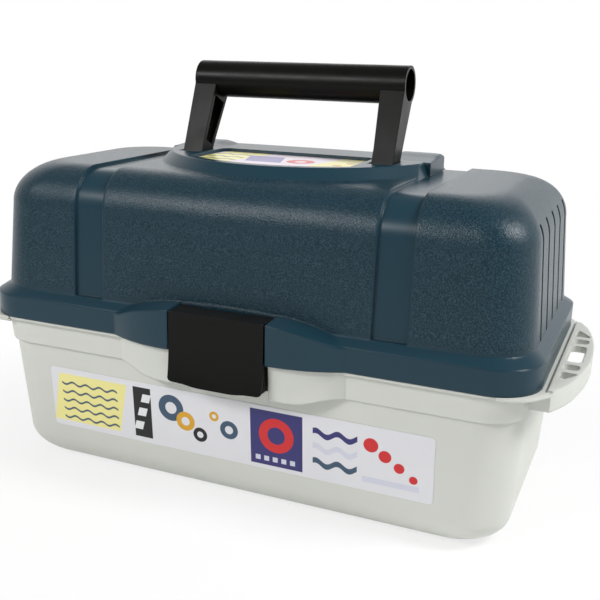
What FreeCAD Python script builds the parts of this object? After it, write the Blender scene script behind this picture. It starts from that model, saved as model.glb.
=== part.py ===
import FreeCAD, Part
import math
import os

os.makedirs("parts", exist_ok=True)
V = FreeCAD.Vector

# ---------------------------------------------------------------- driving dimensions (mm)
# Origin: centre of the rest face. +X along the box, +Y to the hinge side, +Z up.
LENGTH = 440.0            # over the lid lip
DEPTH = 214.4             # over the lid lip
CORNER = 32.6             # plan corner radius of lip, lid and base

RIM_Z = 126.0             # where the lid sits on the base
BAND_Z = RIM_Z - 22.2     # lower edge of the thick band under the rim
BASE_FOOT_R = 26.0        # rounding between the base wall and its bottom
RIM_INSET = 5.0           # band from the lip, at the rim
BAND_INSET = 6.6          # band from the lip, at its lower edge
WALL_TOP_INSET = 9.2      # base wall just under the band
WALL_FOOT_INSET = 14.2    # base wall at the bottom rounding
BASE_WALL = 2.8
FLANGE_INSET = 11.0       # inner edge of the flange that the lid sits on
FLANGE_T = 2.5
LEDGE_INSET = 1.0         # rim ledge from the lip

LIP_FACE_Z = RIM_Z + 18.0  # top of the upright lip face
LIP_TOP_Z = LIP_FACE_Z + 5.8   # where the lip slope meets the lid wall
LIP_SKIRT = 2.6
LID_INSET = 7.0           # lid wall from the lip, low down
LID_SHOULDER_INSET = 11.4 # lid wall from the lip, where the top rounding starts
LID_TOP_Z = 247.4
LID_EDGE_R = 32.0         # rounding of the lid's top edges
LID_WALL = 2.5
LID_END_WALL = 4.0

CHANNEL_IN = 108.0        # the two smooth channels round the lid
CHANNEL_OUT = 133.0
CHANNEL_D = 2.5
RIB_PITCH = 27.5          # grooves down each lid end
RIB_COUNT = 5
RIB_W = 5.0
RIB_D = 1.8
RIB_TOP_Z = LID_TOP_Z - 17.4

BULGE_HALF = 93.0         # lip and band bulge forward beside the latch
BULGE_OUT = 12.8
BULGE_FLAT = 42.0
BAND_BULGE_DROP = 6.0
EAR_TOP_Z = LIP_FACE_Z + 11.5  # top edge of the bulge beside the latch
EAR_RISE = 1.3            # its fall towards the front

LATCH_HALF = 37.6
LATCH_SIDE_GAP = 1.2
LATCH_TOP_Z = EAR_TOP_Z
LATCH_FOOT_Z = BAND_Z - 2.0
LATCH_T = 2.6
LATCH_PIVOT_Y = -DEPTH / 2 - 3.3
LATCH_PIVOT_Z = BAND_Z + 3.2
LATCH_FLARE = 4.0         # how far the latch foot stands forward
LATCH_PIN_R = 1.5
HOOK_GAP = 0.5            # hook edge to the lid wall
CATCH_HALF = 20.0
CATCH_OUT = 1.6
CATCH_Z = LIP_FACE_Z + 2.0
CATCH_H = 3.0

PLATFORM_Z = LID_TOP_Z + 8.4   # raised platform that carries the handle
PLATFORM_HALF = 106.0
PLATFORM_FRONT_R = 114.0
PLATFORM_FRONT_Y = 65.0
PLATFORM_REAR_Y = 63.0
PLATFORM_REAR_SAG = 3.0
PLATFORM_SLOPE = 1.0      # outward run of the platform's front per mm of drop
PLATFORM_SKIN = 4.5
RECESS_HALF_X = 66.0      # D-shaped recess for the top label
RECESS_FRONT_Y = -57.0
RECESS_SIDE_Y = -36.0
RECESS_REAR_Y = 22.0
RECESS_CORNER = 8.0
RECESS_D = 2.5
RIDGE_IN = 70.0           # low ridges behind the handle feet
RIDGE_OUT = 111.5
RIDGE_FRONT_Y = 17.0
RIDGE_CREST_Y = 53.0
RIDGE_RISE = 3.3

ARM_X = 80.5              # centre of each handle arm
ARM_W = 17.0
ARM_FOOT_HALF = 8.0
ARM_HEAD_HALF = 12.0
ARM_FLARE = 2.5           # the heads are wider than the feet, inwards
HANDLE_PIVOT_Z = PLATFORM_Z - 6.8
HANDLE_REACH = 69.0       # pivot to grip centre
HANDLE_LEAN = 25.0        # degrees back from upright, against the stop
GRIP_R = 14.5
GRIP_BORE_R = 12.0
GRIP_LENGTH = 178.0
HANDLE_PIN_R = 3.0
SLOT_SIDE_GAP = 1.0
SLOT_HALF_Y = 13.0
POCKET_WALL = 2.0

LUG_OUT = 23.5            # carrying lug beyond the lip
LUG_HALF = DEPTH / 2 - 22.7
LUG_NOSE_HALF = DEPTH / 2 - 50.2
LUG_T = 3.2
LUG_RAISE = 1.5
LUG_SKIRT = 13.0
LUG_SKIRT_T = 2.5
LUG_GROOVE = 3.5          # groove between the lip and the raised lug

HINGE_Y = DEPTH / 2 + 4.3
HINGE_Z = RIM_Z - 10.5
HINGE_PIN_R = 1.8
KNUCKLE_R = 4.2
KNUCKLE_L = 20.0
KNUCKLE_GAP = 0.4
HINGE_X = 120.0

TRAY_HALF_X = LENGTH / 2 - 36.0   # three cantilever trays
TRAY_FRONT_Y = -DEPTH / 2 + 21.2
TRAY_DEEP_Y = DEPTH / 2 - 25.2
TRAY_SHORT = 30.0         # the top tray stops short by this
TRAY_Z = RIM_Z + 7.0
TRAY_H = 25.0
TRAY_PITCH = 26.0
TRAY_CORNER = 12.0
TRAY_DRAFT = 2.0
TRAY_WALL = 2.0
TRAY_MID_Y = (-2.0, -2.0, -17.0)
DIVIDER_T = 1.6
DIVIDER_GAP = 0.15
DIVIDER_DROP = 2.0
SLOT_RIB = 1.2

LINK_ANGLE = 38.0         # arms forward and up from level, lid closed
ARM_RADII = (44.0, 82.0, 120.0)
ARM_PIVOT_Z = RIM_Z - 4.0
ARM_PIVOT_Y = {"rear": HINGE_Y - 33.5, "front": HINGE_Y - 85.5}
ARM_PLANE = TRAY_HALF_X + 3.0     # inner face of the tray arms
STRIP_T = 3.0
STRIP_HALF = 7.0
BRACKET_T = 3.0
BRACKET_X = ARM_PLANE + STRIP_T + 1.0
LID_LINK_X = BRACKET_X + BRACKET_T + 1.0
LID_LINK_RADIUS = 66.0
PIN_R = 2.5
HEAD_R = 4.2
HEAD_T = 1.6
RUNNING = 0.05            # radial clearance of a turning pin

BRACKET_FOOT_Z = ARM_PIVOT_Z - 34.0
BRACKET_EAR_Z = ARM_PIVOT_Z - 9.0     # underside of the ear that carries the rear arm
BRACKET_TOP_Z = ARM_PIVOT_Z + 9.0
BRACKET_MARGIN = 9.0      # bracket past the arm pivots
STUD_PITCH = 28.0
STUD_R = 2.5
STUD_Z = BRACKET_FOOT_Z + 13.0
NUT_R = 6.0
NUT_T = 1.2

LABEL_W = 320.0
LABEL_H = 52.0
LABEL_CORNER = 3.0
LABEL_MID_Z = 60.0
LABEL_X = -3.5
LABEL_T = 0.25
TOP_LABEL_GAP = 2.5


# ---------------------------------------------------------------- shape helpers
def box(x0, x1, y0, y1, z0, z1):
    return Part.makeBox(x1 - x0, y1 - y0, z1 - z0, V(x0, y0, z0))


def rod(x0, x1, y, z, radius):
    return Part.makeCylinder(radius, x1 - x0, V(x0, y, z), V(1, 0, 0))


def rounded(x0, x1, y0, y1, radius, z):
    """Closed rounded rectangle at height z."""
    q = radius * (1 - math.sqrt(0.5))
    edges = [
        Part.makeLine(V(x0 + radius, y0, z), V(x1 - radius, y0, z)),
        Part.Arc(V(x1 - radius, y0, z), V(x1 - q, y0 + q, z), V(x1, y0 + radius, z)).toShape(),
        Part.makeLine(V(x1, y0 + radius, z), V(x1, y1 - radius, z)),
        Part.Arc(V(x1, y1 - radius, z), V(x1 - q, y1 - q, z), V(x1 - radius, y1, z)).toShape(),
        Part.makeLine(V(x1 - radius, y1, z), V(x0 + radius, y1, z)),
        Part.Arc(V(x0 + radius, y1, z), V(x0 + q, y1 - q, z), V(x0, y1 - radius, z)).toShape(),
        Part.makeLine(V(x0, y1 - radius, z), V(x0, y0 + radius, z)),
        Part.Arc(V(x0, y0 + radius, z), V(x0 + q, y0 + q, z), V(x0 + radius, y0, z)).toShape(),
    ]
    return Part.Wire(edges)


def outline(inset, z, extra_x=0.0, radius=CORNER):
    """Box outline at height z, a given inset inside the lid lip."""
    hx = LENGTH / 2 - inset - extra_x
    hy = DEPTH / 2 - inset
    return rounded(-hx, hx, -hy, hy, radius, z)


def loft(wires, ruled=True):
    return Part.makeLoft(wires, True, ruled)


def prism(points, axis, start, stop):
    """Extruded polygon. axis is X (points are y, z) or Y (points are x, z)."""
    if axis == "X":
        corners = [V(start, a, b) for a, b in points]
        run = V(stop - start, 0, 0)
    else:
        corners = [V(a, start, b) for a, b in points]
        run = V(0, stop - start, 0)
    return Part.Face(Part.makePolygon(corners + corners[:1])).extrude(run)


def fuse(shapes):
    first = shapes[0]
    return first.multiFuse(shapes[1:]).removeSplitter() if len(shapes) > 1 else first


def mirrored(shape):
    return shape.mirror(V(0, 0, 0), V(1, 0, 0))


def export(name, shape):
    if isinstance(shape, list):
        shape = Part.makeCompound(shape)
    shape.exportStep("parts/%s.step" % name)
    print(name, round(shape.Volume / 1000.0, 2), "cm3", len(shape.Solids), shape.isValid())


# ---------------------------------------------------------------- lid
LID_ROUND_Z = LID_TOP_Z - LID_EDGE_R


def lid_body(off, extra_x=0.0):
    """Lid form from the rim up, offset inwards by off."""
    wall = loft([outline(LID_INSET + off, RIM_Z, extra_x), outline(LID_INSET + off, LIP_TOP_Z, extra_x)])
    slope = loft([outline(LID_INSET + off, LIP_TOP_Z, extra_x),
                  outline(LID_SHOULDER_INSET + off, LID_ROUND_Z, extra_x)])
    radius = LID_EDGE_R - off
    steps = 8
    sections = []
    for i in range(steps + 1):
        turn = math.radians(90.0 * i / steps)
        inset = LID_SHOULDER_INSET + off + radius * (1 - math.cos(turn))
        sections.append(outline(inset, LID_ROUND_Z + radius * math.sin(turn), extra_x))
    return wall.fuse(slope).fuse(loft(sections, False))


def platform(off, top):
    """Platform that is convex at the front and nearly straight behind."""
    def wire(z, grow, side):
        half = PLATFORM_HALF + side - off
        front_r = PLATFORM_FRONT_R + grow - off
        centre = PLATFORM_FRONT_R - PLATFORM_FRONT_Y
        rear = PLATFORM_REAR_Y + side - off
        y_front = centre - math.sqrt(front_r ** 2 - half ** 2)
        y_rear = rear - PLATFORM_REAR_SAG
        a = V(-half, y_front, z)
        b = V(half, y_front, z)
        c = V(half, y_rear, z)
        d = V(-half, y_rear, z)
        return Part.Wire([
            Part.Arc(a, V(0, centre - front_r, z), b).toShape(),
            Part.makeLine(b, c),
            Part.Arc(c, V(0, rear, z), d).toShape(),
            Part.makeLine(d, a),
        ])
    drop = 18.0
    side_run = 6.0
    return loft([wire(top - drop, drop * PLATFORM_SLOPE, side_run), wire(top, 0.0, 0.0)])


def ring_zone(x0, x1, low):
    """Both X bands between x0 and x1, from low upwards."""
    zone = box(x0, x1, -DEPTH, DEPTH, low, LID_TOP_Z + 5.0)
    return zone.fuse(mirrored(zone))


def bulge(off, z0):
    """Forward bulge of the lip beside the latch, offset inwards by off."""
    radius = ((BULGE_HALF - BULGE_FLAT) ** 2 + BULGE_OUT ** 2) / (2 * BULGE_OUT)
    face_y = -DEPTH / 2 - BULGE_OUT
    cy = face_y + radius
    r = radius - off
    run = BULGE_HALF - BULGE_FLAT
    mid = run / 2
    x_end = BULGE_FLAT + math.sqrt(r ** 2 - (cy + DEPTH / 2 - off) ** 2)
    y_end = -DEPTH / 2 + off
    back = -DEPTH / 2 + LID_INSET + 0.5
    right = [V(BULGE_FLAT, cy - r, z0), V(BULGE_FLAT + mid, cy - math.sqrt(r ** 2 - mid ** 2), z0),
             V(x_end, y_end, z0)]
    left = [V(-p.x, p.y, p.z) for p in right]
    edges = [
        Part.makeLine(left[0], right[0]),
        Part.Arc(*right).toShape(),
        Part.makeLine(right[2], V(x_end, back, z0)),
        Part.makeLine(V(x_end, back, z0), V(-x_end, back, z0)),
        Part.makeLine(V(-x_end, back, z0), left[2]),
        Part.Arc(left[2], left[1], left[0]).toShape(),
    ]
    return Part.Face(Part.Wire(edges))


def bulge_cap(off):
    """Everything above the S-shaped top edge of the bulge."""
    stations = (BULGE_FLAT - 2.0, BULGE_FLAT + 14.0, BULGE_FLAT + 32.0, BULGE_HALF - 6.0, BULGE_HALF, BULGE_HALF + 6.0)

    def curve(y, heights):
        right = [V(x, y, z - off) for x, z in zip(stations, heights)]
        left = [V(-p.x, p.y, p.z) for p in reversed(right)]
        line = Part.BSplineCurve()
        line.interpolate(left + right)
        a = left[0]
        b = right[-1]
        return Part.Wire([
            line.toShape(),
            Part.makeLine(b, V(b.x, y, LID_TOP_Z)),
            Part.makeLine(V(b.x, y, LID_TOP_Z), V(a.x, y, LID_TOP_Z)),
            Part.makeLine(V(a.x, y, LID_TOP_Z), a),
        ])
    crease = LIP_FACE_Z
    front = curve(-DEPTH / 2 - BULGE_OUT - 2.0,
                  (EAR_TOP_Z, EAR_TOP_Z - 2.3, crease + 3.7, crease - 4.5, crease - 12.1, crease - 19.0))
    back_z = EAR_TOP_Z + EAR_RISE
    back = curve(-DEPTH / 2 + LID_INSET + 2.0,
                 (back_z, back_z - 1.3, crease + 7.9, crease + 5.9, crease + 7.1, crease + 7.1))
    return loft([front, back])


outer = lid_body(0.0)
lip = loft([outline(0.0, RIM_Z), outline(0.0, LIP_FACE_Z)])
lip_slope = loft([outline(0.0, LIP_FACE_Z), outline(LID_INSET + 0.3, LIP_TOP_Z)])
channel_cut = ring_zone(CHANNEL_IN, CHANNEL_OUT, LIP_TOP_Z).cut(lid_body(CHANNEL_D))
outer = outer.cut(channel_cut)

groove_zone = []
for i in range(RIB_COUNT):
    y = (i - (RIB_COUNT - 1) / 2) * RIB_PITCH
    strip = box(CHANNEL_OUT + 20.0, LENGTH, y - RIB_W / 2, y + RIB_W / 2, LIP_TOP_Z + 1.0, RIB_TOP_Z)
    groove_zone += [strip, mirrored(strip)]
outer = outer.cut(Part.makeCompound(groove_zone).cut(lid_body(RIB_D)))

bulge_high = LID_TOP_Z - RIM_Z - 20.0
ears = bulge(0.0, RIM_Z).extrude(V(0, 0, bulge_high)).cut(bulge_cap(0.0))
ridges = []
ridge_low = LID_TOP_Z - 2.0
for side in (-1, 1):
    stations = ((0.0, 0.0), (0.12, 0.6), (0.26, 1.0), (0.86, 1.0), (0.95, 0.85), (1.0, 0.4))
    sections = []
    for share, rise in stations:
        x = side * (RIDGE_IN + share * (RIDGE_OUT - RIDGE_IN))
        crest = PLATFORM_Z + rise * RIDGE_RISE
        middle = (RIDGE_FRONT_Y + RIDGE_CREST_Y) / 2
        outline_yz = [(RIDGE_FRONT_Y, ridge_low), (RIDGE_FRONT_Y, PLATFORM_Z - 0.4),
                      (middle, PLATFORM_Z + rise * RIDGE_RISE * 0.45), (RIDGE_CREST_Y - 7.0, crest - 0.25 * rise),
                      (RIDGE_CREST_Y, crest), (RIDGE_CREST_Y + 4.0, crest - 0.6 * rise),
                      (PLATFORM_REAR_Y - PLATFORM_REAR_SAG - 0.5, PLATFORM_Z - 0.5),
                      (PLATFORM_REAR_Y - PLATFORM_REAR_SAG - 0.5, ridge_low)]
        corners = [V(x, y, z) for y, z in outline_yz]
        sections.append(Part.makePolygon(corners + corners[:1]))
    ridges.append(loft(sections))
pocket_half_x = ARM_W / 2 + SLOT_SIDE_GAP
pocket_floor = HANDLE_PIVOT_Z - ARM_FOOT_HALF - 0.5
pockets = [box(s * ARM_X - pocket_half_x - POCKET_WALL, s * ARM_X + pocket_half_x + POCKET_WALL,
               -SLOT_HALF_Y - POCKET_WALL, SLOT_HALF_Y + POCKET_WALL,
               pocket_floor - POCKET_WALL, PLATFORM_Z - 2.0) for s in (-1, 1)]
lid = fuse([outer, lip, lip_slope, ears, platform(0.0, PLATFORM_Z)] + ridges)

cavity_channels = ring_zone(CHANNEL_IN - LID_WALL, CHANNEL_OUT + LID_WALL, LIP_TOP_Z - LID_WALL).cut(
    lid_body(CHANNEL_D + LID_WALL, LID_END_WALL - LID_WALL))
cavity = lid_body(LID_WALL, LID_END_WALL - LID_WALL).cut(cavity_channels)
cavity = cavity.fuse(platform(LID_WALL + 1.0, PLATFORM_Z - PLATFORM_SKIN))
lid = lid.cut(cavity)

lip_groove = loft([outline(LIP_SKIRT, RIM_Z - 1.0), outline(LIP_SKIRT, LIP_FACE_Z - 2.0)]).cut(
    loft([outline(LID_INSET, RIM_Z - 1.0), outline(LID_INSET, LIP_FACE_Z - 2.0)]))
ear_pocket = bulge(LIP_SKIRT, RIM_Z - 1.0).extrude(V(0, 0, bulge_high)).cut(bulge_cap(LIP_SKIRT))
ear_pocket = ear_pocket.cut(box(-LENGTH, LENGTH, -DEPTH / 2 + LID_INSET, 0, 0, LID_TOP_Z))
side_wall = LATCH_HALF + LATCH_SIDE_GAP + LIP_SKIRT
ear_pocket = ear_pocket.cut(box(-side_wall, side_wall, -DEPTH, 0, 0, LID_TOP_Z))
latch_bay = box(-LATCH_HALF - LATCH_SIDE_GAP, LATCH_HALF + LATCH_SIDE_GAP, -DEPTH,
                -DEPTH / 2 + LID_INSET, RIM_Z - 1.0, EAR_TOP_Z + 3.0)
lid = lid.cut(Part.makeCompound([lip_groove, ear_pocket]))
lid = lid.cut(latch_bay)


def recess_block(gap, height):
    """Block over the recess floor, arched in front and straight behind, inset by gap."""
    half = RECESS_HALF_X - gap
    rear = RECESS_REAR_Y - gap
    corner = RECESS_CORNER - gap
    turn = corner * (1 - math.sqrt(0.5))
    z = PLATFORM_Z - RECESS_D
    a = V(-half, RECESS_SIDE_Y + gap, z)
    b = V(half, RECESS_SIDE_Y + gap, z)
    c = V(half, rear - corner, z)
    d = V(half - corner, rear, z)
    e = V(corner - half, rear, z)
    f = V(-half, rear - corner, z)
    edges = [Part.Arc(a, V(0, RECESS_FRONT_Y + gap, z), b).toShape(), Part.makeLine(b, c),
             Part.Arc(c, V(half - turn, rear - turn, z), d).toShape(), Part.makeLine(d, e),
             Part.Arc(e, V(turn - half, rear - turn, z), f).toShape(), Part.makeLine(f, a)]
    return Part.Face(Part.Wire(edges)).extrude(V(0, 0, height))


lid = lid.cut(recess_block(0.0, RECESS_D + 20.0))
lid = fuse([lid] + pockets)
for s in (-1, 1):
    lid = lid.cut(box(s * ARM_X - pocket_half_x, s * ARM_X + pocket_half_x, -SLOT_HALF_Y, SLOT_HALF_Y,
                      pocket_floor, PLATFORM_Z + 20.0))
    lid = lid.cut(rod(s * ARM_X - pocket_half_x - POCKET_WALL, s * ARM_X + pocket_half_x + POCKET_WALL,
                      0, HANDLE_PIVOT_Z, HANDLE_PIN_R))

catch_y = -DEPTH / 2 + LID_INSET
catch = box(-CATCH_HALF, CATCH_HALF, catch_y - CATCH_OUT, catch_y + 1.0, CATCH_Z, CATCH_Z + CATCH_H)


def on_arm(which, radius, angle=LINK_ANGLE):
    """Point on a tray arm at a radius from its pivot, as (y, z)."""
    turn = math.radians(angle)
    return (ARM_PIVOT_Y[which] - radius * math.cos(turn), ARM_PIVOT_Z + radius * math.sin(turn))


link_low = on_arm("rear", LID_LINK_RADIUS)
link_high = (link_low[0] + HINGE_Y - ARM_PIVOT_Y["rear"], link_low[1] + HINGE_Z - ARM_PIVOT_Z)
boss_start = LID_LINK_X + STRIP_T + 0.6
link_bosses = []
for s in (-1, 1):
    boss = rod(boss_start, LENGTH / 2 - LID_INSET - 1.5, link_high[0], link_high[1], HEAD_R + 2.0)
    boss = boss.cut(rod(boss_start, boss_start + 6.0, link_high[0], link_high[1], PIN_R + RUNNING))
    link_bosses.append(boss if s == 1 else mirrored(boss))


def knuckle(x0, x1, points):
    """Hinge knuckle with a web that follows the given section."""
    body = rod(x0, x1, HINGE_Y, HINGE_Z, KNUCKLE_R).fuse(prism(points, "X", x0, x1))
    return body


lid_back = DEPTH / 2
lid_web = [(lid_back + 0.2, HINGE_Z), (HINGE_Y + KNUCKLE_R, HINGE_Z), (HINGE_Y + KNUCKLE_R, HINGE_Z + 5.0),
           (lid_back + 1.0, LIP_FACE_Z - 7.0), (lid_back - 1.5, LIP_FACE_Z - 7.0), (lid_back - 1.5, RIM_Z),
           (lid_back + 0.2, RIM_Z)]
band_back = DEPTH / 2 - RIM_INSET - 2.0
base_web = [(band_back, HINGE_Z - KNUCKLE_R - 5.0), (HINGE_Y, HINGE_Z - KNUCKLE_R),
            (HINGE_Y, HINGE_Z + KNUCKLE_R), (band_back, HINGE_Z + KNUCKLE_R)]
lid_knuckles = []
base_knuckles = []
hinge_pins = []
for s in (-1, 1):
    x = s * HINGE_X
    half = KNUCKLE_L / 2
    lid_knuckles.append(knuckle(x - half, x + half, lid_web))
    for t in (-1, 1):
        near = x + t * (half + KNUCKLE_GAP)
        far = near + t * KNUCKLE_L
        base_knuckles.append(knuckle(min(near, far), max(near, far), base_web))
    reach = half + KNUCKLE_GAP + KNUCKLE_L
    hinge_pins.append(rod(x - reach, x + reach, HINGE_Y, HINGE_Z, HINGE_PIN_R))
lid = fuse([lid, catch] + link_bosses + lid_knuckles)
for s in (-1, 1):
    lid = lid.cut(rod(s * HINGE_X - KNUCKLE_L, s * HINGE_X + KNUCKLE_L, HINGE_Y, HINGE_Z,
                      HINGE_PIN_R + RUNNING))
export("lid_shell", lid)

# ---------------------------------------------------------------- base
WALL_FALL = (WALL_FOOT_INSET - WALL_TOP_INSET) / (BAND_Z - BASE_FOOT_R)


def wall_inset(z):
    """Outer inset of the base wall at height z, below the band."""
    return WALL_TOP_INSET + (BAND_Z - z) * WALL_FALL


def base_body(off):
    """Base form under the band, offset inwards by off."""
    radius = BASE_FOOT_R - off
    steps = 6
    sections = []
    for i in range(steps + 1):
        turn = math.radians(90.0 * i / steps)
        inset = WALL_FOOT_INSET + off + radius * (1 - math.sin(turn))
        sections.append(outline(inset, off + radius * (1 - math.cos(turn)), radius=CORNER - 2.0))
    foot = loft(sections, False)
    wall = loft([outline(WALL_FOOT_INSET + off, BASE_FOOT_R, radius=CORNER - 2.0),
                 outline(WALL_TOP_INSET + off, BAND_Z, radius=CORNER - 2.0)])
    return foot.fuse(wall)


band = loft([outline(BAND_INSET, BAND_Z), outline(RIM_INSET, RIM_Z)])
base = base_body(0.0).fuse(band)

bulge_foot = BAND_Z - BAND_BULGE_DROP
band_bulge = loft([bulge(BAND_INSET, bulge_foot).OuterWire, bulge(RIM_INSET, RIM_Z).OuterWire])
drop_cut = []
for s in (-1, 1):
    steps = 8
    run = BULGE_HALF - BULGE_FLAT - 18.0
    slope = [(s * LENGTH / 2, BAND_Z), (s * LENGTH / 2, 0.0), (s * (BULGE_FLAT + 14.0), 0.0)]
    for i in range(steps + 1):
        fall = BAND_BULGE_DROP * (1 + math.cos(math.pi * i / steps)) / 2
        slope.append((s * (BULGE_FLAT + 14.0 + run * i / steps), BAND_Z - fall))
    drop_cut.append(prism(slope, "Y", -DEPTH, 0.0))
band_bulge = band_bulge.cut(Part.makeCompound(drop_cut))
latch_gap = LATCH_HALF + LATCH_SIDE_GAP
cheek_depth = DEPTH / 2 - BAND_INSET
latch_well = box(-latch_gap, latch_gap, -DEPTH, -cheek_depth, 0.0, RIM_Z + 1.0)
base = base.fuse(band_bulge)

ledge = Part.Face(outline(LEDGE_INSET, RIM_Z - FLANGE_T)).extrude(V(0, 0, FLANGE_T))
lug_start = LENGTH / 2 - RIM_INSET - 2.0
lug_end = LENGTH / 2 + LUG_OUT


def lug_plan(z):
    """Plan of the right-hand lug and of the rim corners that run into it."""
    hx = LENGTH / 2
    hy = DEPTH / 2
    shoulder = [V(hx + 17.0, LUG_NOSE_HALF, z), V(hx + 9.7, hy - 29.6, z), V(hx - 2.0, hy - 11.2, z)]
    corner = [V(hx - 2.0, hy - 11.2, z), V(hx - 12.3, hy - 3.1, z), V(hx - 25.0, hy - 0.2, z)]

    def low(p):
        return V(p.x, -p.y, p.z)
    edges = [Part.Arc(low(corner[2]), low(corner[1]), low(corner[0])).toShape(),
             Part.Arc(low(shoulder[2]), low(shoulder[1]), low(shoulder[0])).toShape(),
             Part.Arc(low(shoulder[0]), V(lug_end, 0, z), shoulder[0]).toShape(),
             Part.Arc(*shoulder).toShape(), Part.Arc(*corner).toShape(),
             Part.makeLine(corner[2], low(corner[2]))]
    return Part.Face(Part.Wire(edges))


def lug_part(off, x0, half, z0, z1):
    """Slice of the lug plan, offset inwards by off, beyond x0 and within half of the middle."""
    plan = lug_plan(z0)
    if off:
        plan = plan.makeOffset2D(-off)
    return plan.extrude(V(0, 0, z1 - z0)).common(box(x0, lug_end + 1.0, -half, half, z0, z1))


skirt_z = RIM_Z - LUG_SKIRT
lug = lug_part(0.0, lug_start, LUG_HALF, skirt_z, RIM_Z)
lug = lug.cut(lug_part(LUG_SKIRT_T, lug_start - 5.0, LUG_HALF - LUG_SKIRT_T, skirt_z - 1.0, RIM_Z - LUG_T))
rise = lug_part(0.0, LENGTH / 2 + LUG_GROOVE, LUG_HALF - 2.0, RIM_Z - 1.0, RIM_Z + LUG_RAISE)
corner_plate = lug_plan(RIM_Z - FLANGE_T).extrude(V(0, 0, FLANGE_T))
lug = fuse([lug, rise, corner_plate])


def plate_hole(points, radius):
    """Rounded hole down through the lug plate."""
    corners = [V(x, y, RIM_Z - LUG_SKIRT) for x, y in points]
    body = Part.Face(Part.makePolygon(corners + corners[:1])).extrude(V(0, 0, LUG_SKIRT + 10.0))
    upright = [e for e in body.Edges if abs(e.Vertexes[0].Z - e.Vertexes[-1].Z) > 1.0]
    return body.makeFillet(radius, upright)


hole_in = LENGTH / 2 + 7.0
hole_out = LENGTH / 2 + 18.0
slot_half = 5.5
big_half = 19.0
rib = 6.5
tri_in = big_half + rib + 2 * slot_half + rib
holes = [plate_hole([(hole_in, -big_half), (hole_out, -big_half), (hole_out, big_half), (hole_in, big_half)], 4.0)]
for s in (-1, 1):
    near = s * (big_half + rib)
    far = s * (big_half + rib + 2 * slot_half)
    holes.append(plate_hole([(hole_in, min(near, far)), (hole_out, min(near, far)),
                             (hole_out, max(near, far)), (hole_in, max(near, far))], 3.5))
    tip = [(hole_in, s * tri_in), (hole_out, s * tri_in), (hole_out - 1.0, s * (tri_in + 4.0)),
           (hole_in, s * (tri_in + 18.0))]
    holes.append(plate_hole(tip, 1.6))
lug = lug.cut(Part.makeCompound(holes))

stud_y = [ARM_PIVOT_Y["front"], ARM_PIVOT_Y["front"] + STUD_PITCH]
inner_x = LENGTH / 2 - wall_inset(STUD_Z) - BASE_WALL
stud_end = inner_x - BRACKET_T - 4.5
studs = [rod(stud_end, inner_x + 1.0, y, STUD_Z, STUD_R) for y in stud_y]

base = fuse([base, ledge] + base_knuckles + [lug, mirrored(lug)])
hollow = base_body(BASE_WALL).fuse(
    loft([outline(BAND_INSET + BASE_WALL, BAND_Z), outline(RIM_INSET + BASE_WALL + 0.6, RIM_Z - FLANGE_T)]))
hollow = hollow.fuse(loft([outline(FLANGE_INSET, RIM_Z - FLANGE_T), outline(FLANGE_INSET, RIM_Z + 1.0)]))
base = base.cut(hollow)
base = base.cut(latch_well)
cheek_hollow = bulge(RIM_INSET + BASE_WALL, 0.0).extrude(V(0, 0, RIM_Z - FLANGE_T)).cut(
    box(-latch_gap - BASE_WALL, latch_gap + BASE_WALL, -DEPTH, 0, 0, RIM_Z)).cut(
    box(-LENGTH, LENGTH, -cheek_depth, 0, 0, RIM_Z))
base = base.cut(cheek_hollow)
base = fuse([base] + studs + [mirrored(s) for s in studs])
pin_reach = latch_gap + BASE_WALL
base = base.cut(rod(-pin_reach, pin_reach, LATCH_PIVOT_Y, LATCH_PIVOT_Z, LATCH_PIN_R))
for pin in hinge_pins:
    base = base.cut(pin)
export("base_tub", base)
export("hinge_pins", hinge_pins)
export("latch_pin", rod(-pin_reach, pin_reach, LATCH_PIVOT_Y, LATCH_PIVOT_Z, LATCH_PIN_R))

# ---------------------------------------------------------------- latch
face_y = -DEPTH / 2 - BULGE_OUT
hook_y = -DEPTH / 2 + LID_INSET - HOOK_GAP
steps = 10
section = [(hook_y, LATCH_TOP_Z)]
for i in range(steps + 1):
    share = i / steps
    section.append((face_y - LATCH_FLARE * share ** 3, LATCH_TOP_Z - share * (LATCH_TOP_Z - LATCH_FOOT_Z)))
section.append((face_y - LATCH_FLARE + 1.2, LATCH_FOOT_Z - 0.6))
for i in range(steps, -1, -1):
    share = i / steps
    reach = LATCH_TOP_Z - LATCH_T - LATCH_FOOT_Z - 2.0
    section.append((face_y + LATCH_T - LATCH_FLARE * share ** 3, LATCH_TOP_Z - LATCH_T - share * reach))
section.append((hook_y, LATCH_TOP_Z - LATCH_T))
plate = prism(section, "X", -LATCH_HALF, LATCH_HALF)
cheek = [(face_y + 1.0, LATCH_TOP_Z - 1.0), (face_y + 1.0, LATCH_PIVOT_Z - 2.0),
         (LATCH_PIVOT_Y + 3.5, LATCH_PIVOT_Z - 3.0), (LATCH_PIVOT_Y + 4.2, LATCH_PIVOT_Z + 3.0),
         (hook_y - 3.0, LATCH_TOP_Z - 12.0), (hook_y - 3.0, LATCH_TOP_Z - 1.0)]
sides = [prism(cheek, "X", -LATCH_HALF, -LATCH_HALF + 2.2), prism(cheek, "X", LATCH_HALF - 2.2, LATCH_HALF)]
latch = fuse([plate] + sides)
catch_side = CATCH_HALF + 1.0
latch = latch.cut(box(-catch_side, catch_side, hook_y - CATCH_OUT, hook_y + 1.0, RIM_Z, LATCH_TOP_Z + 1.0))
corner_cut = []
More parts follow.
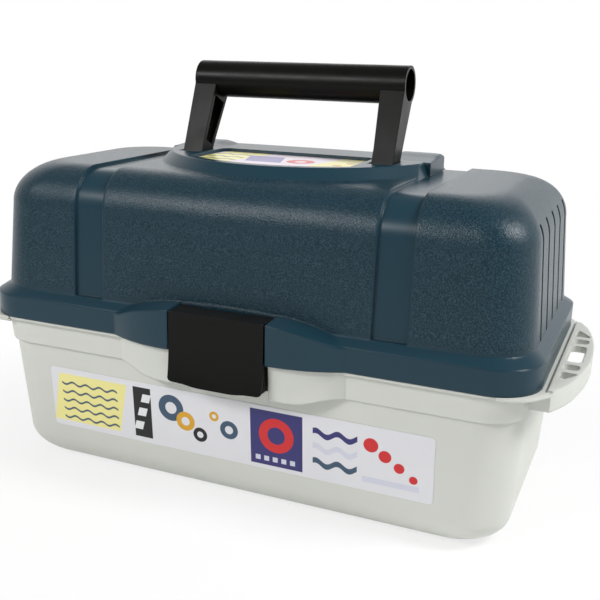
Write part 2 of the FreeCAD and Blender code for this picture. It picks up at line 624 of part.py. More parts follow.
for s in (-1, 1):
    wedge = [(s * 10.0, LATCH_FOOT_Z - 3.0), (s * 10.0, LATCH_FOOT_Z - 0.4), (s * 18.0, LATCH_FOOT_Z + 0.4),
             (s * 25.0, LATCH_FOOT_Z + 1.3), (s * (LATCH_HALF - 3.0), LATCH_FOOT_Z + 1.7),
             (s * (LATCH_HALF - 1.0), LATCH_FOOT_Z + 2.4), (s * LATCH_HALF, LATCH_FOOT_Z + 4.0),
             (s * (LATCH_HALF + 1.0), LATCH_FOOT_Z + 8.0), (s * (LATCH_HALF + 1.0), LATCH_FOOT_Z - 3.0)]
    corner_cut.append(prism(wedge, "Y", -DEPTH, -DEPTH / 2 - 5.0))
latch = latch.cut(Part.makeCompound(corner_cut))
latch = latch.cut(rod(-LATCH_HALF, LATCH_HALF, LATCH_PIVOT_Y, LATCH_PIVOT_Z, LATCH_PIN_R + RUNNING))
export("latch", latch)

# ---------------------------------------------------------------- handle
# Built upright over its pivot, then leaned back against the stop.
grip_z = HANDLE_PIVOT_Z + HANDLE_REACH
grip = rod(-GRIP_LENGTH / 2, GRIP_LENGTH / 2, 0, grip_z, GRIP_R)
grip = grip.cut(rod(-GRIP_LENGTH / 2, GRIP_LENGTH / 2, 0, grip_z, GRIP_BORE_R))


def handle_arm(side):
    x0 = side * ARM_X - ARM_W / 2
    x1 = side * ARM_X + ARM_W / 2
    flank = [(-ARM_FOOT_HALF, HANDLE_PIVOT_Z), (ARM_FOOT_HALF, HANDLE_PIVOT_Z), (ARM_HEAD_HALF, grip_z),
             (-ARM_HEAD_HALF, grip_z)]
    inner = x1 if side < 0 else x0
    outer_x = x0 if side < 0 else x1
    head_x = inner - side * ARM_FLARE
    flare_z = PLATFORM_Z + ARM_FOOT_HALF
    front = [(outer_x, HANDLE_PIVOT_Z - 1.0), (inner, HANDLE_PIVOT_Z - 1.0), (inner, flare_z), (head_x, grip_z),
             (outer_x, grip_z)]
    arm = prism(flank, "X", min(head_x, outer_x), max(head_x, outer_x))
    arm = arm.common(prism(front, "Y", -GRIP_R - 5.0, GRIP_R + 5.0))
    arm = arm.fuse(rod(x0, x1, 0, HANDLE_PIVOT_Z, ARM_FOOT_HALF))
    arm = arm.cut(rod(min(head_x, outer_x) - 1, max(head_x, outer_x) + 1, 0, grip_z, GRIP_R))
    arm = arm.cut(rod(x0, x1, 0, HANDLE_PIVOT_Z, HANDLE_PIN_R + RUNNING))
    depth = 4.0
    trough = [(-ARM_FOOT_HALF + 3.0, HANDLE_PIVOT_Z + 14.0), (ARM_FOOT_HALF - 3.0, HANDLE_PIVOT_Z + 14.0),
              (ARM_HEAD_HALF - 4.0, grip_z - GRIP_R - 3.0), (-ARM_HEAD_HALF + 4.0, grip_z - GRIP_R - 3.0)]
    deep_x = inner + side * depth
    arm = arm.cut(prism(trough, "X", min(head_x, deep_x), max(head_x, deep_x)))
    return arm.removeSplitter()


def leaned(shape):
    shape = shape.copy()
    shape.rotate(V(0, 0, HANDLE_PIVOT_Z), V(1, 0, 0), -HANDLE_LEAN)
    return shape


export("handle_grip", leaned(grip))
export("handle_arm_left", leaned(handle_arm(-1)))
export("handle_arm_right", leaned(handle_arm(1)))
pin_half = pocket_half_x + POCKET_WALL
export("handle_pivot_pins", [rod(s * ARM_X - pin_half, s * ARM_X + pin_half, 0, HANDLE_PIVOT_Z, HANDLE_PIN_R)
                             for s in (-1, 1)])

# ---------------------------------------------------------------- trays
TRAY_NAMES = ("tray_lower", "tray_middle", "tray_upper")
FRONT_CELLS = (5, 4, 4)
REAR_CELLS = (3, 3, 3)
for k, name in enumerate(TRAY_NAMES):
    z0 = TRAY_Z + k * TRAY_PITCH
    z1 = z0 + TRAY_H
    rear = TRAY_DEEP_Y - (TRAY_SHORT if name == "tray_upper" else 0.0)

    def tray_form(off, low, high):
        low_in = TRAY_DRAFT + off
        return loft([rounded(-TRAY_HALF_X + low_in, TRAY_HALF_X - low_in, TRAY_FRONT_Y + low_in, rear - low_in,
                             TRAY_CORNER - off, low),
                     rounded(-TRAY_HALF_X + off, TRAY_HALF_X - off, TRAY_FRONT_Y + off, rear - off,
                             TRAY_CORNER - off, high)])

    tray = tray_form(0.0, z0, z1).cut(tray_form(TRAY_WALL, z0 + TRAY_WALL, z1 + 0.01))
    mid = TRAY_MID_Y[k]
    spine = box(-TRAY_HALF_X, TRAY_HALF_X, mid - TRAY_WALL / 2, mid + TRAY_WALL / 2, z0 + 1.0, z1 - DIVIDER_DROP)
    extras = [spine.common(tray_form(1.0, z0, z1))]
    dividers = []
    inside = tray_form(TRAY_WALL + DIVIDER_GAP, z0 + TRAY_WALL, z1)
    inside_ribs = tray_form(TRAY_WALL - 0.5, z0 + 1.0, z1 - DIVIDER_DROP)
    rows = ((TRAY_FRONT_Y, mid - TRAY_WALL / 2, FRONT_CELLS[k]), (mid + TRAY_WALL / 2, rear, REAR_CELLS[k]))
    for y0, y1, cells in rows:
        pitch = 2 * TRAY_HALF_X / cells
        for i in range(1, cells):
            x = -TRAY_HALF_X + i * pitch
            blade = box(x - DIVIDER_T / 2, x + DIVIDER_T / 2, y0 + DIVIDER_GAP, y1 - DIVIDER_GAP,
                        z0 + TRAY_WALL + 0.05, z1 - DIVIDER_DROP)
            dividers.append(blade.common(inside))
            for side in (-1, 1):
                edge = x + side * (DIVIDER_T / 2 + DIVIDER_GAP + SLOT_RIB / 2)
                for foot, run in ((y0, 1), (y1, -1)):
                    reach = TRAY_WALL + TRAY_DRAFT + 2.0 if foot in (TRAY_FRONT_Y, rear) else 2.0
                    a = foot if run > 0 else foot - reach
                    post = box(edge - SLOT_RIB / 2, edge + SLOT_RIB / 2, a, a + reach, z0 + 1.0, z1 - DIVIDER_DROP)
                    extras.append(post.common(inside_ribs))
    pins = []
    for which in ARM_PIVOT_Y:
        y, z = on_arm(which, ARM_RADII[k])
        for s in (-1, 1):
            boss = rod(TRAY_HALF_X - TRAY_WALL - 1.0, ARM_PLANE - 0.4, y, z, HEAD_R)
            shank = rod(TRAY_HALF_X - TRAY_WALL - 3.0, ARM_PLANE + STRIP_T + 0.2, y, z, PIN_R)
            head = rod(ARM_PLANE + STRIP_T + 0.2, ARM_PLANE + STRIP_T + 0.2 + HEAD_T, y, z, HEAD_R)
            inner = rod(TRAY_HALF_X - TRAY_WALL - 3.0 - HEAD_T, TRAY_HALF_X - TRAY_WALL - 3.0, y, z, HEAD_R)
            seat = rod(TRAY_HALF_X - TRAY_WALL - 3.0, TRAY_HALF_X - 1.0, y, z, HEAD_R + 1.0)
            rivet = fuse([shank, head, inner])
            boss = boss.fuse(seat)
            extras.append(boss if s == 1 else mirrored(boss))
            pins.append(rivet if s == 1 else mirrored(rivet))
    tray = fuse([tray] + extras)
    tray = tray.cut(Part.makeCompound(pins))
    export(name, tray)
    export(name + "_dividers", dividers)
    export(name + "_rivets", pins)

# ---------------------------------------------------------------- tray arms, lid links and brackets


def strip(x0, start, stop, holes):
    """Flat link with round ends between two (y, z) points."""
    dy = stop[0] - start[0]
    dz = stop[1] - start[1]
    span = math.hypot(dy, dz)
    ny = -dz / span * STRIP_HALF
    nz = dy / span * STRIP_HALF
    x1 = x0 + STRIP_T
    bar = prism([(start[0] + ny, start[1] + nz), (stop[0] + ny, stop[1] + nz),
                 (stop[0] - ny, stop[1] - nz), (start[0] - ny, start[1] - nz)], "X", x0, x1)
    bar = fuse([bar, rod(x0, x1, start[0], start[1], STRIP_HALF), rod(x0, x1, stop[0], stop[1], STRIP_HALF)])
    for (y, z), radius in holes:
        bar = bar.cut(rod(x0, x1, y, z, radius))
    return bar


for which in ("front", "rear"):
    root = (ARM_PIVOT_Y[which], ARM_PIVOT_Z)
    ends = [root] + [on_arm(which, r) for r in ARM_RADII]
    if which == "rear":
        ends.append(link_low)
    arm = strip(ARM_PLANE, root, on_arm(which, ARM_RADII[-1]), [(p, PIN_R + RUNNING) for p in ends])
    export("tray_arm_%s_right" % which, arm)
    export("tray_arm_%s_left" % which, mirrored(arm))

link = strip(LID_LINK_X, link_low, link_high, [(link_low, PIN_R), (link_high, PIN_R)])
low_pin = fuse([rod(ARM_PLANE - 0.2, LID_LINK_X + STRIP_T, link_low[0], link_low[1], PIN_R),
                rod(ARM_PLANE - HEAD_T, ARM_PLANE - 0.2, link_low[0], link_low[1], HEAD_R),
                rod(ARM_PLANE + STRIP_T + 0.3, LID_LINK_X, link_low[0], link_low[1], HEAD_R),
                rod(LID_LINK_X + STRIP_T, LID_LINK_X + STRIP_T + HEAD_T, link_low[0], link_low[1], HEAD_R)])
high_pin = fuse([rod(LID_LINK_X - HEAD_T, LID_LINK_X, link_high[0], link_high[1], HEAD_R),
                 rod(LID_LINK_X, boss_start + 5.5, link_high[0], link_high[1], PIN_R)])
export("lid_link_right", link)
export("lid_link_left", mirrored(link))
export("lid_link_pins_right", [low_pin, high_pin])
export("lid_link_pins_left", [mirrored(low_pin), mirrored(high_pin)])


def inner_wall_x(z):
    return LENGTH / 2 - wall_inset(z) - BASE_WALL


hx0 = BRACKET_X
hx1 = BRACKET_X + BRACKET_T
foot_x = inner_wall_x(BRACKET_FOOT_Z)
bracket_y0 = ARM_PIVOT_Y["front"] - BRACKET_MARGIN
bracket_y1 = ARM_PIVOT_Y["rear"] + BRACKET_MARGIN
foot_y1 = stud_y[-1] + BRACKET_MARGIN
fold = [(hx0, BRACKET_FOOT_Z), (foot_x, BRACKET_FOOT_Z), (inner_wall_x(BAND_Z), BAND_Z),
        (inner_wall_x(BAND_Z) - BRACKET_T, BAND_Z), (foot_x - BRACKET_T, BRACKET_FOOT_Z + BRACKET_T),
        (hx1, BRACKET_FOOT_Z + BRACKET_T), (hx1, BRACKET_TOP_Z), (hx0, BRACKET_TOP_Z)]
ear = [(foot_y1 - 1.0, BRACKET_EAR_Z), (bracket_y1, BRACKET_EAR_Z), (bracket_y1, BRACKET_TOP_Z - 5.0),
       (bracket_y1 - 5.0, BRACKET_TOP_Z), (foot_y1 - 1.0, BRACKET_TOP_Z)]
bracket = prism(fold, "Y", bracket_y0, foot_y1).fuse(prism(ear, "X", hx0, hx1)).removeSplitter()
pivots = []
for which in ("front", "rear"):
    y = ARM_PIVOT_Y[which]
    bracket = bracket.cut(rod(hx0, hx1, y, ARM_PIVOT_Z, PIN_R))
    pivots.append(fuse([rod(ARM_PLANE - 0.2, hx1, y, ARM_PIVOT_Z, PIN_R),
                        rod(ARM_PLANE - HEAD_T, ARM_PLANE - 0.2, y, ARM_PIVOT_Z, HEAD_R),
                        rod(ARM_PLANE + STRIP_T + 0.2, hx0, y, ARM_PIVOT_Z, HEAD_R),
                        rod(hx1, hx1 + HEAD_T, y, ARM_PIVOT_Z, HEAD_R)]))
nuts = []
for y in stud_y:
    bracket = bracket.cut(rod(hx1, LENGTH / 2, y, STUD_Z, STUD_R))
    washer_x = inner_x - BRACKET_T - 0.6 - NUT_T
    nuts.append(rod(washer_x, washer_x + NUT_T, y, STUD_Z, NUT_R).cut(
        rod(washer_x, washer_x + NUT_T, y, STUD_Z, STUD_R)))
export("arm_bracket_right", bracket)
export("arm_bracket_left", mirrored(bracket))
export("arm_pivot_pins", pivots + [mirrored(p) for p in pivots])
export("bracket_push_nuts", nuts + [mirrored(n) for n in nuts])

# ---------------------------------------------------------------- labels
tilt = math.degrees(math.atan(WALL_FALL))
label_y = -DEPTH / 2 + wall_inset(LABEL_MID_Z)
label = Part.Face(rounded(LABEL_X - LABEL_W / 2, LABEL_X + LABEL_W / 2, -LABEL_H / 2, LABEL_H / 2,
                          LABEL_CORNER, 0.0)).extrude(V(0, 0, LABEL_T))
label.rotate(V(0, 0, 0), V(1, 0, 0), 90.0 + tilt)
label.translate(V(0, label_y, LABEL_MID_Z))
export("front_label", label)
export("top_label", recess_block(TOP_LABEL_GAP, LABEL_T))
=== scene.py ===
import bpy
import bmesh
import math
from mathutils import Matrix, Vector

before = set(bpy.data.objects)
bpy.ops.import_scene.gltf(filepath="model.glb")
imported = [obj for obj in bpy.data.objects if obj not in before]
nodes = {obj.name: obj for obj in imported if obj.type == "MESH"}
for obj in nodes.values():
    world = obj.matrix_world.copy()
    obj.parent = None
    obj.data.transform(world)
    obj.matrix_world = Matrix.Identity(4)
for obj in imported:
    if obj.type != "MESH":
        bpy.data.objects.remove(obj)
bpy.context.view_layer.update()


# ---- Base tub -------------------------------------------------------------
# Light grey polypropylene moulding that holds the bulky tackle. Its walls
# lean outwards to a thick band, and a lug with windows stands at each end.
CREASE_ANGLE = math.radians(28)       # an edge sharper than this stays crisp
EDGE_SAMPLES = 6
MIX_A, MIX_B, MIX_RESULT = 6, 7, 2    # the colour sockets of a Mix node
PATTERN_LOW, PATTERN_HIGH = 0.3, 0.7  # where most of a noise lies


def srgb(r, g, b):
    """Linear colour, with alpha, from 0-255 display values."""
    def channel(c):
        c = c / 255.0
        return c / 12.92 if c <= 0.04045 else ((c + 0.055) / 1.055) ** 2.4
    return (channel(r), channel(g), channel(b), 1.0)


def feed(tree, socket, value):
    """Sets a socket to a plain value, or wires another socket to it."""
    if isinstance(value, (int, float, tuple)):
        socket.default_value = value
    else:
        tree.links.new(value, socket)


def reckon(tree, kind, a, b=0.0):
    """One sum on two values or sockets."""
    node = tree.nodes.new("ShaderNodeMath")
    node.operation = kind
    feed(tree, node.inputs[0], a)
    feed(tree, node.inputs[1], b)
    return node.outputs[0]


def stretch(tree, value, low, high, out_low=0.0, out_high=1.0):
    """Maps low..high to out_low..out_high, and holds the ends."""
    node = tree.nodes.new("ShaderNodeMapRange")
    node.inputs["From Min"].default_value = low
    node.inputs["From Max"].default_value = high
    node.inputs["To Min"].default_value = out_low
    node.inputs["To Max"].default_value = out_high
    tree.links.new(value, node.inputs["Value"])
    return node.outputs["Result"]


class Recipe:
    """Small helper that wires up one node material."""

    def __init__(self, name, specular, metal=0.0):
        self.mat = bpy.data.materials.new(name)
        self.mat.use_nodes = True
        self.tree = self.mat.node_tree
        self.shader = self.tree.nodes["Principled BSDF"]
        self.shader.inputs["Specular IOR Level"].default_value = specular
        self.shader.inputs["Metallic"].default_value = metal
        self.place = self.tree.nodes.new("ShaderNodeTexCoord").outputs["Object"]

    def link(self, a, b):
        self.tree.links.new(a, b)

    def noise(self, scale, detail=2.0, roughness=0.5):
        node = self.tree.nodes.new("ShaderNodeTexNoise")
        node.inputs["Scale"].default_value = scale
        node.inputs["Detail"].default_value = detail
        node.inputs["Roughness"].default_value = roughness
        self.link(self.place, node.inputs["Vector"])
        return node.outputs["Fac"]

    def cells(self, scale, smoothness):
        node = self.tree.nodes.new("ShaderNodeTexVoronoi")
        node.feature = "SMOOTH_F1"
        node.inputs["Scale"].default_value = scale
        node.inputs["Smoothness"].default_value = smoothness
        self.link(self.place, node.inputs["Vector"])
        return node.outputs["Distance"]

    def axis(self, name):
        node = self.tree.nodes.new("ShaderNodeSeparateXYZ")
        self.link(self.place, node.inputs[0])
        return node.outputs[name]

    def math(self, kind, a, b=0.0):
        return reckon(self.tree, kind, a, b)

    def both(self, a, b):
        return self.math("MULTIPLY", a, b)

    def either(self, a, b):
        return self.math("MAXIMUM", a, b)

    def length(self, a, b):
        """Distance whose legs along two axes are a and b."""
        return self.math("SQRT", self.math("ADD", self.both(a, a), self.both(b, b)))

    def span(self, value, low, high, out_low=0.0, out_high=1.0):
        return stretch(self.tree, value, low, high, out_low, out_high)

    def within(self, value, low, high, soft):
        """1 where value lies between low and high, 0 elsewhere."""
        return self.both(self.span(value, low - soft, low + soft),
                         self.span(value, high - soft, high + soft, 1.0, 0.0))

    def blend(self, share, a, b):
        node = self.tree.nodes.new("ShaderNodeMix")
        node.data_type = "RGBA"
        self.link(share, node.inputs["Factor"])
        feed(self.tree, node.inputs[MIX_A], a)
        feed(self.tree, node.inputs[MIX_B], b)
        return node.outputs[MIX_RESULT]

    def colour(self, source):
        self.link(source, self.shader.inputs["Base Color"])

    def rough(self, value):
        self.shader.inputs["Roughness"].default_value = value

    def rough_over(self, pattern, low, high):
        """Roughness that rises from low to high with a pattern."""
        self.link(self.span(pattern, PATTERN_LOW, PATTERN_HIGH, low, high),
                  self.shader.inputs["Roughness"])

    def bump(self, height, distance, edge):
        """Relief of the given depth, on edges that look rounded by the radius edge."""
        rounded = self.tree.nodes.new("ShaderNodeBevel")
        rounded.samples = EDGE_SAMPLES
        rounded.inputs["Radius"].default_value = edge
        node = self.tree.nodes.new("ShaderNodeBump")
        node.inputs["Distance"].default_value = distance
        self.link(height, node.inputs["Height"])
        self.link(rounded.outputs[0], node.inputs["Normal"])
        self.link(node.outputs[0], self.shader.inputs["Normal"])


def dress(node, material):
    """Gives a CAD node its one material and soft shading with crisp edges."""
    mesh = nodes[node].data
    mesh.materials.clear()
    mesh.materials.append(material)
    mesh.shade_smooth()
    mesh.set_sharp_from_angle(angle=CREASE_ANGLE)


grey = Recipe("light_grey_polypropylene", specular=0.3)
flow_marks = grey.noise(scale=9.0, detail=3.0)
grey.colour(grey.blend(flow_marks, srgb(203, 205, 198), srgb(210, 212, 205)))
grey.rough_over(flow_marks, low=0.38, high=0.47)
grey.bump(grey.noise(scale=2600.0, detail=1.0), distance=0.00003, edge=0.002)
dress("base_tub", grey.mat)

# ---- Lid ------------------------------------------------------------------
# Blue-grey polypropylene moulding with a pebble grain. The lip, the two
# channels, the front of the bulge and the handle platform are left smooth.
CHANNEL_FROM, CHANNEL_TO, CHANNEL_SOFT = 0.107, 0.134, 0.001   # metres from the middle
LIP_TOP_FROM, LIP_TOP_TO = 0.1500, 0.1520                      # heights
BULGE_FROM, BULGE_TO = -0.1010, -0.1015                        # towards the front
PLATFORM_FROM, PLATFORM_TO = 0.2476, 0.2482                    # heights
PAINTED_GLINT_SHARE = 0.6             # how far a painted glint goes towards its light colour
NOISE_IN_PEBBLE = 1.2         # noise added for each part of the cells

teal = Recipe("blue_grey_polypropylene", specular=0.28)
teal.rough(0.3)
channels = teal.within(teal.math("ABSOLUTE", teal.axis("X")), CHANNEL_FROM, CHANNEL_TO, CHANNEL_SOFT)
lip = teal.span(teal.axis("Z"), LIP_TOP_TO, LIP_TOP_FROM)
bulge = teal.span(teal.axis("Y"), BULGE_FROM, BULGE_TO)
platform = teal.span(teal.axis("Z"), PLATFORM_FROM, PLATFORM_TO)
smooth_area = teal.either(teal.either(channels, lip), teal.either(bulge, platform))
grained = teal.math("SUBTRACT", 1.0, smooth_area)
pebble = teal.math("ADD", teal.cells(scale=1000.0, smoothness=0.6),
                   teal.both(teal.noise(scale=1400.0, roughness=0.7), NOISE_IN_PEBBLE))
cloud = teal.noise(scale=14.0, detail=3.0)
# Light flecks on the grained areas give the pebble grain its speckle; their light colour is painted
# glint, where the grain catches the light.
painted_glint = teal.span(teal.noise(scale=1150.0, detail=1.5), 0.44, 0.68)
grained_tone = teal.blend(cloud, srgb(13, 40, 52), srgb(18, 46, 59))
tone = teal.blend(smooth_area, grained_tone, srgb(26, 56, 69))
painted_glint_share = teal.both(painted_glint, teal.both(grained, PAINTED_GLINT_SHARE))
teal.colour(teal.blend(painted_glint_share, tone, srgb(60, 87, 97)))
teal.bump(teal.both(pebble, grained), distance=0.00012, edge=0.0022)
dress("lid_shell", teal.mat)

# ---- Latch and handle -------------------------------------------------------
# Satin black mouldings: a wide latch flap that turns on a pin in the base,
# and a tube grip between two arms.
black = Recipe("satin_black_plastic", specular=0.15)
haze = black.noise(scale=40.0, detail=4.0)
black.colour(black.blend(haze, srgb(9, 9, 8), srgb(15, 15, 13)))
black.rough_over(haze, low=0.3, high=0.4)
black.bump(black.noise(scale=1800.0), distance=0.00004, edge=0.0006)
for name in ("latch", "handle_grip", "handle_arm_left", "handle_arm_right"):
    dress(name, black.mat)

# ---- Trays and dividers -----------------------------------------------------
# Thin-walled blue-grey trays with pale loose dividers between slot ribs.
tray_stuff = Recipe("tray_polypropylene", specular=0.3)
tray_stuff.rough(0.45)
tray_cloud = tray_stuff.noise(scale=20.0, detail=3.0)
tray_stuff.colour(tray_stuff.blend(tray_cloud, srgb(40, 60, 72), srgb(46, 68, 80)))
tray_stuff.bump(tray_stuff.noise(scale=1500.0), distance=0.00005, edge=0.0004)
divider_stuff = Recipe("divider_polypropylene", specular=0.3)
divider_stuff.rough(0.4)
divider_cloud = divider_stuff.noise(scale=30.0, detail=3.0)
divider_stuff.colour(divider_stuff.blend(divider_cloud, srgb(200, 201, 195), srgb(210, 211, 205)))
for level in ("lower", "middle", "upper"):
    dress("tray_" + level, tray_stuff.mat)
    dress("tray_%s_dividers" % level, divider_stuff.mat)

# ---- Arms, links, brackets and pins -------------------------------------------
# Zinc-plated strip steel that carries the trays, riveted at every pivot, and
# the plain steel pins, rivets and push nuts of the whole box.
zinc = Recipe("zinc_plated_strip", specular=0.5, metal=1.0)
spangle = zinc.noise(scale=300.0)
zinc.colour(zinc.blend(spangle, srgb(186, 188, 190), srgb(206, 207, 208)))
zinc.rough_over(spangle, low=0.28, high=0.42)
steel = Recipe("plain_steel_pin", specular=0.5, metal=1.0)
steel.rough(0.3)
steel.colour(steel.blend(steel.noise(scale=500.0), srgb(176, 178, 180), srgb(196, 197, 198)))
for side in ("left", "right"):
    for name in ("tray_arm_front_", "tray_arm_rear_", "lid_link_", "arm_bracket_"):
        dress(name + side, zinc.mat)
    dress("lid_link_pins_" + side, steel.mat)
for name in ("latch_pin", "hinge_pins", "handle_pivot_pins", "arm_pivot_pins", "bracket_push_nuts",
             "tray_lower_rivets", "tray_middle_rivets", "tray_upper_rivets"):
    dress(name, steel.mat)

# ---- Labels -----------------------------------------------------------------
# Printed gloss film on the front wall and in the recess of the lid top, with
# a plain pattern of blocks, waves and discs in the colours of tackle packs.
MM_PER_METRE = 1000.0
PRINT_SOFT = 0.15             # half the width of a printed edge, in millimetres
LEAN = 0.2                    # of the straw blocks


class Print(Recipe):
    """Film whose design is laid down shape by shape, in millimetres from the label's centre.

    across and up are a shape's reach from left to right and from bottom to top.
    """

    def __init__(self, name, node, upward, ground):
        super().__init__(name, specular=0.35)
        self.rough(0.3)
        self.node = node
        corners = [Vector(c) for c in nodes[node].bound_box]
        middle = sum(corners, Vector()) / len(corners)
        self.u = self.from_middle("X", middle.x)
        self.v = self.from_middle(upward, middle["XYZ".index(upward)])
        self.paint = ground

    def from_middle(self, axis, middle):
        return self.both(self.math("SUBTRACT", self.axis(axis), middle), MM_PER_METRE)

    def inside(self, value, reach):
        return self.within(value, reach[0], reach[1], PRINT_SOFT)

    def block(self, across, up, ink, lean=0.0):
        """Rectangle, leaning to the right by lean for each millimetre up."""
        upright = self.math("SUBTRACT", self.u, self.both(self.v, lean))
        mask = self.both(self.inside(upright, across), self.inside(self.v, up))
        self.paint = self.blend(mask, self.paint, ink)

    def disc(self, at, radius, ink, hole=-1.0):
        """Disc, or a ring where it has a hole of a radius above 0."""
        away = self.length(self.math("SUBTRACT", self.u, at[0]), self.math("SUBTRACT", self.v, at[1]))
        self.paint = self.blend(self.inside(away, (hole, radius)), self.paint, ink)

    def wave(self, across, foot, height, length, thick, ink):
        """Band that follows a sine."""
        swing = self.both(self.math("SINE", self.both(self.u, 2 * math.pi / length)), height)
        mask = self.both(self.inside(self.u, across),
                         self.inside(self.math("SUBTRACT", self.v, swing), (foot, foot + thick)))
        self.paint = self.blend(mask, self.paint, ink)

    def finish(self):
        self.colour(self.paint)
        self.bump(self.noise(scale=900.0), distance=0.00001, edge=0.0003)
        dress(self.node, self.mat)


indigo, scarlet, jet = srgb(52, 50, 110), srgb(205, 42, 44), srgb(24, 24, 26)
straw, mist, ochre = srgb(236, 228, 150), srgb(206, 208, 220), srgb(214, 160, 40)
slate, chalk, lilac = srgb(58, 82, 104), srgb(228, 228, 230), srgb(120, 112, 168)

front = Print("front_label_film", "front_label", "Z", ground=srgb(222, 222, 226))
front.block(across=(-156.0, -92.0), up=(-21.0, 21.0), ink=straw, lean=LEAN)
for i in range(5):
    front.wave(across=(-150.0, -97.0), foot=12.0 - 7.5 * i, height=1.2, length=13.0, thick=1.7, ink=slate)
front.block(across=(-82.0, -66.0), up=(-21.5, 21.5), ink=jet)
for i in range(3):
    front.block(across=(-78.0, -70.5), up=(-15.0 + 12.0 * i, -8.0 + 12.0 * i), ink=chalk, lean=0.3)
rings = ((slate, 11.0), (ochre, 8.0), (jet, 6.0), (ochre, 4.0), (slate, 7.5))
for i, (tint, radius) in enumerate(rings):
    front.disc(at=(-48.0 + 12.5 * i, 9.0 - 9.0 * (i % 3)), radius=radius, ink=tint, hole=radius * 0.45)
front.block(across=(20.0, 62.0), up=(-22.5, 22.5), ink=indigo)
front.disc(at=(41.0, 3.0), radius=14.0, ink=scarlet, hole=7.0)
for i in range(5):
    front.block(across=(24.0 + 7.0 * i, 28.0 + 7.0 * i), up=(-19.0, -15.0), ink=mist)
for i, tint in enumerate((indigo, mist, slate)):
    front.wave(across=(70.0, 104.0), foot=10.0 - 12.0 * i, height=2.0, length=17.0, thick=4.5, ink=tint)
for i in range(4):
    front.disc(at=(114.0 + 10.5 * i, 11.0 - 7.0 * i), radius=5.5 - 0.8 * i, ink=scarlet)
front.block(across=(108.0, 150.0), up=(-19.0, -14.5), ink=mist)
front.finish()

top = Print("top_label_film", "top_label", "Y", ground=srgb(226, 214, 224))
top.block(across=(-66.0, -28.0), up=(-44.0, 44.0), ink=straw, lean=LEAN)
top.block(across=(34.0, 66.0), up=(-44.0, 44.0), ink=straw, lean=LEAN)
for i in range(4):
    top.wave(across=(-62.0, -30.0), foot=-26.0 + 15.0 * i, height=1.6, length=14.0, thick=3.0, ink=slate)
top.block(across=(-26.0, 4.0), up=(-10.0, 22.0), ink=lilac, lean=-0.3)
top.disc(at=(18.0, 4.0), radius=11.0, ink=scarlet, hole=4.5)
for i in range(3):
    top.disc(at=(44.0 + 6.0 * i, -16.0 + 14.0 * i), radius=4.0, ink=ochre)
top.block(across=(-20.0, 26.0), up=(-32.0, -26.0), ink=jet)
top.finish()

# ---- Floor, lamps and camera ----------------------------------------------------
# A pale floor that turns white away from the box, a broad soft lamp behind it
# and smaller ones at the front left and over the right end.
WHITE = (1.0, 1.0, 1.0, 1.0)
FLOOR_SIZE = 6.0
FILL_STRENGTH = 0.3                            # the world's plain light on the box
FLOOR_GLOSS_FROM, FLOOR_GLOSS_TO = -0.75, -0.4       # glosses see white floor behind this
FLOOR_NEAR, FLOOR_FAR = 0.2, 0.42              # the floor whitens between these distances
FLOOR_NEAR_SHARE = 0.72                        # how white it already is under the box

floor_mesh = bpy.data.meshes.new("floor")
sheet = bmesh.new()
bmesh.ops.create_grid(sheet, x_segments=1, y_segments=1, size=FLOOR_SIZE)
sheet.to_mesh(floor_mesh)
sheet.free()
floor = bpy.data.objects.new("floor", floor_mesh)
bpy.context.scene.collection.objects.link(floor)
pale = Recipe("pale_floor", specular=0.1)
pale.rough(0.9)
pale.colour(pale.blend(pale.noise(scale=3.0), srgb(246, 246, 246), srgb(250, 250, 250)))


def seen(tree, gloss_share):
    """1 for rays by which the camera sees the background; a gloss sees the share it is given."""
    ray = tree.nodes.new("ShaderNodeLightPath").outputs
    straight = reckon(tree, "MAXIMUM", ray["Is Camera Ray"], ray["Is Transmission Ray"])
    return reckon(tree, "MAXIMUM", straight, reckon(tree, "MULTIPLY", ray["Is Glossy Ray"], gloss_share))


def mix_into(tree, share, first, second, output):
    """Mixes two shaders by a share, and makes them the tree's surface."""
    node = tree.nodes.new("ShaderNodeMixShader")
    for value, socket in zip((share, first.outputs[0], second.outputs[0]), node.inputs):
        tree.links.new(value, socket)
    tree.links.new(node.outputs[0], tree.nodes[output].inputs["Surface"])


paper = pale.tree.nodes.new("ShaderNodeEmission")
paper.inputs["Color"].default_value = WHITE
paper.inputs["Strength"].default_value = 1.0
distance = pale.length(pale.axis("X"), pale.axis("Y"))
whiteness = pale.span(distance, FLOOR_NEAR, FLOOR_FAR, FLOOR_NEAR_SHARE, 1.0)
floor_seen = seen(pale.tree, pale.span(pale.axis("Y"), FLOOR_GLOSS_FROM, FLOOR_GLOSS_TO))
mix_into(pale.tree, pale.both(floor_seen, whiteness), pale.shader, paper, "Material Output")
floor_mesh.materials.append(pale.mat)

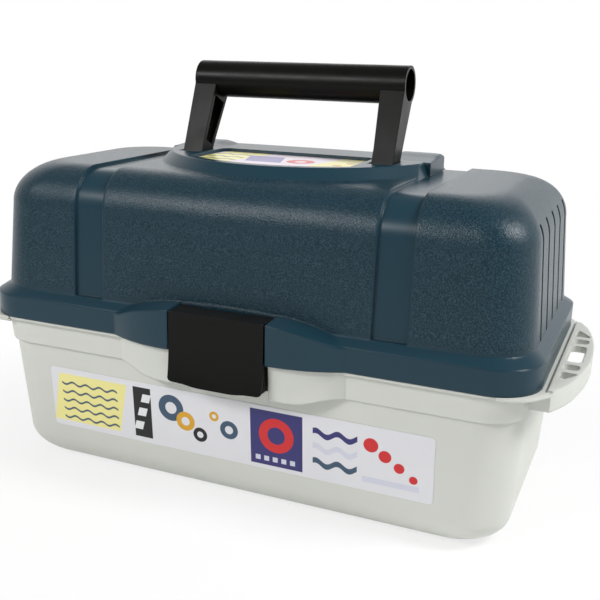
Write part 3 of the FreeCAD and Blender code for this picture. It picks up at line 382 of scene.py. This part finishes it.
world = bpy.data.worlds.new("studio")
world.use_nodes = True
sky = world.node_tree
fill = sky.nodes["Background"]
fill.inputs["Color"].default_value = WHITE
fill.inputs["Strength"].default_value = FILL_STRENGTH
backdrop = sky.nodes.new("ShaderNodeBackground")
backdrop.inputs["Color"].default_value = WHITE
backdrop.inputs["Strength"].default_value = 1.0
heading = sky.nodes.new("ShaderNodeSeparateXYZ")
sky.links.new(sky.nodes.new("ShaderNodeTexCoord").outputs["Generated"], heading.inputs[0])
towards_back = stretch(sky, heading.outputs["Y"], low=-0.35, high=0.15)
towards_level = stretch(sky, heading.outputs["Z"], low=0.7, high=0.4)
sky_seen = seen(sky, reckon(sky, "MULTIPLY", towards_back, towards_level))
mix_into(sky, sky_seen, fill, backdrop, "World Output")
bpy.context.scene.world = world


def lamp(name, place, aim, size, power):
    """Rectangular lamp at a place, turned to its aim, in metres and watts."""
    data = bpy.data.lights.new(name, "AREA")
    data.shape = "RECTANGLE"
    data.size, data.size_y = size
    data.energy = power
    stand = bpy.data.objects.new(name, data)
    stand.location = place
    stand.rotation_mode = "QUATERNION"
    stand.rotation_quaternion = (Vector(aim) - Vector(place)).to_track_quat("-Z", "Y")
    bpy.context.scene.collection.objects.link(stand)


lamp("rear", place=(-0.7, 1.5, 1.0), aim=(0.0, 0.0, 0.2), size=(1.4, 0.9), power=3.0)
lamp("right_end", place=(1.22, -0.04, 1.23), aim=(0.1, 0.0, 0.15), size=(0.4, 0.5), power=19.0)
lamp("front_left", place=(-0.6, -1.17, 0.95), aim=(0.0, 0.0, 0.13), size=(0.6, 0.25), power=10.0)

AZIMUTH, ELEVATION, ROLL = math.radians(23.45), math.radians(16.27), math.radians(1.03)
TARGET = Vector((0.0024, 0.0, 0.13538))
DISTANCE = 0.72819
LENS = 53.116                 # millimetres
SHIFT_X, SHIFT_Y = 0.0226, 0.0052

back = Vector((math.sin(AZIMUTH) * math.cos(ELEVATION), -math.cos(AZIMUTH) * math.cos(ELEVATION),
               math.sin(ELEVATION)))
level_right = Vector((math.cos(AZIMUTH), math.sin(AZIMUTH), 0.0))
level_up = back.cross(level_right)
right = level_right * math.cos(ROLL) + level_up * math.sin(ROLL)
up = level_up * math.cos(ROLL) - level_right * math.sin(ROLL)
eye = bpy.data.cameras.new("camera")
eye.lens = LENS
eye.shift_x = SHIFT_X
eye.shift_y = SHIFT_Y
camera = bpy.data.objects.new("camera", eye)
facing = Matrix((right, up, back)).transposed().to_4x4()
camera.matrix_world = Matrix.Translation(TARGET + back * DISTANCE) @ facing
bpy.context.scene.collection.objects.link(camera)
bpy.context.scene.camera = camera
bpy.context.scene.view_settings.view_transform = "Standard"
